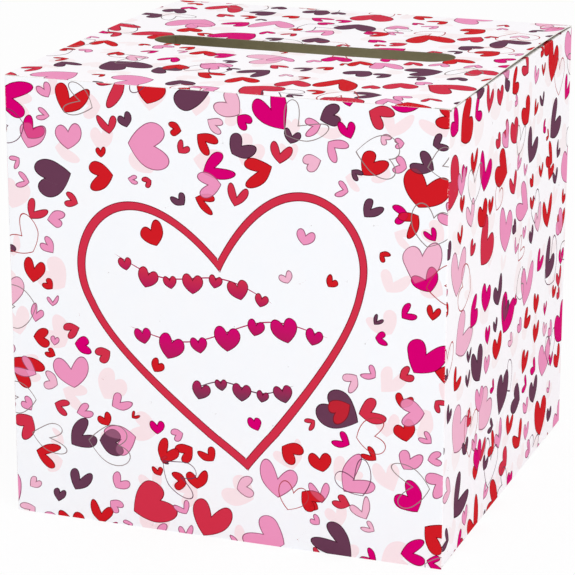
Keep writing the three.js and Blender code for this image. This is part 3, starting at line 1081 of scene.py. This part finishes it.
def makeGlue():
    material, tree, shader = newMaterial("driedGlue")
    where = tree.nodes.new("ShaderNodeTexCoord").outputs["Object"]
    streaks = noise(tree, vectorCalc(tree, "MULTIPLY", where, glue["streaks"]), 1.0, 3.0)
    least, more = glue["rough"]
    feed(tree, shader, {"Base Color": mixed(tree, streaks, glue["light"], glue["dark"]),
                        "Roughness": timesPlus(tree, streaks, more, least)})
    addBump(tree, shader, streaks, glue["relief"])
    return material


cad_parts["seam_glue"].material_slots[0].material = makeGlue()

# A pale floor that stays white to the camera but keeps the shadow
studio = {
    "floorSize": 12.0,
    "floorHole": 303 * mm,     # under the box, so that light reaches its bottom in views from below
    "floor": (0.95, 0.95, 0.95, 1.0),
    "floorRough": 0.9,
    "floorWhite": 0.9,         # share of the floor that is plain white to the camera
    "skyLight": 0.82,
}


def cameraOrMirrorRay(tree):
    path = tree.nodes.new("ShaderNodeLightPath").outputs
    seen = calc(tree, "MAXIMUM", path["Is Camera Ray"], path["Is Glossy Ray"])
    return calc(tree, "MAXIMUM", seen, path["Is Transmission Ray"])


floorMesh = bpy.data.meshes.new("floor")
bm = bmesh.new()
bmesh.ops.create_grid(bm, x_segments=1, y_segments=1, size=studio["floorSize"] / 2)
holeHalf = studio["floorHole"] / 2
for axis in (0, 1):
    cutLines(bm, axis, (-holeHalf, holeHalf))
hidden = [face for face in bm.faces if face.calc_center_median().length < holeHalf]
bmesh.ops.delete(bm, geom=hidden, context="FACES")
bm.to_mesh(floorMesh)
bm.free()
floor = addObject("floor", floorMesh)
floorPaint, tree, shader = newMaterial("floorPaint")
shader.inputs["Base Color"].default_value = studio["floor"]
shader.inputs["Roughness"].default_value = studio["floorRough"]
shader.inputs["Specular IOR Level"].default_value = 0.0
glow = tree.nodes.new("ShaderNodeEmission")
glow.inputs["Strength"].default_value = 1.0
blend = tree.nodes.new("ShaderNodeMixShader")
whiteShare = times(tree, cameraOrMirrorRay(tree), studio["floorWhite"])
feed(tree, blend, {0: whiteShare, 1: shader.outputs[0], 2: glow.outputs[0]})
# from below it can't be seen, so that it doesn't hide the box
oneSided = tree.nodes.new("ShaderNodeMixShader")
fromBelow = tree.nodes.new("ShaderNodeNewGeometry").outputs["Backfacing"]
clear = tree.nodes.new("ShaderNodeBsdfTransparent").outputs[0]
feed(tree, oneSided, {0: fromBelow, 1: blend.outputs[0], 2: clear})
feed(tree, tree.nodes["Material Output"], {"Surface": oneSided.outputs[0]})
floorMesh.materials.append(floorPaint)

world = bpy.data.worlds.new("softRoom")
world.use_nodes = True
bpy.context.scene.world = world
tree = world.node_tree
background = tree.nodes["Background"]
background.inputs["Color"].default_value = (1.0, 1.0, 1.0, 1.0)
sky = studio["skyLight"]
strength = timesPlus(tree, cameraOrMirrorRay(tree), 1.0 - sky, sky)
feed(tree, background, {"Strength": strength})

# The second lamp stands for the light that the board lets through
lamps = {
    "softbox": {"kind": "AREA", "power": 29.0, "size": 2.2, "place": (1.5, -1.7, 2.6),
                "aim": (0, 0, 0.15)},
    "insideLight": {"kind": "POINT", "power": 0.52, "size": 0.05, "place": (0, 0, 0.16),
                    "aim": (0, 0, 0)},
}
for name, settings in lamps.items():
    lamp = bpy.data.lights.new(name, settings["kind"])
    lamp.energy = settings["power"]
    if settings["kind"] == "AREA":
        lamp.size = settings["size"]
    else:
        lamp.shadow_soft_size = settings["size"]
    holder = addObject(name, lamp)
    holder.location = settings["place"]
    aim = Vector(settings["aim"]) - Vector(settings["place"])
    holder.rotation_euler = aim.to_track_quat("-Z", "Y").to_euler()

# The camera, fitted to the corners of the box in the photograph
view = {
    "place": (0.5756, -1.5759, 0.6280),
    "down": math.radians(16.436),
    "turn": math.radians(20.416),
    "lens": 154.34,
}
camera = bpy.data.cameras.new("camera")
camera.sensor_width = 36
camera.lens = view["lens"]
camera.clip_start = 0.01
holder = addObject("camera", camera)
holder.location = view["place"]
holder.rotation_euler = (quarter - view["down"], 0, view["turn"])
bpy.context.scene.camera = holder
bpy.context.scene.view_settings.view_transform = "Standard"
print("studio ready")
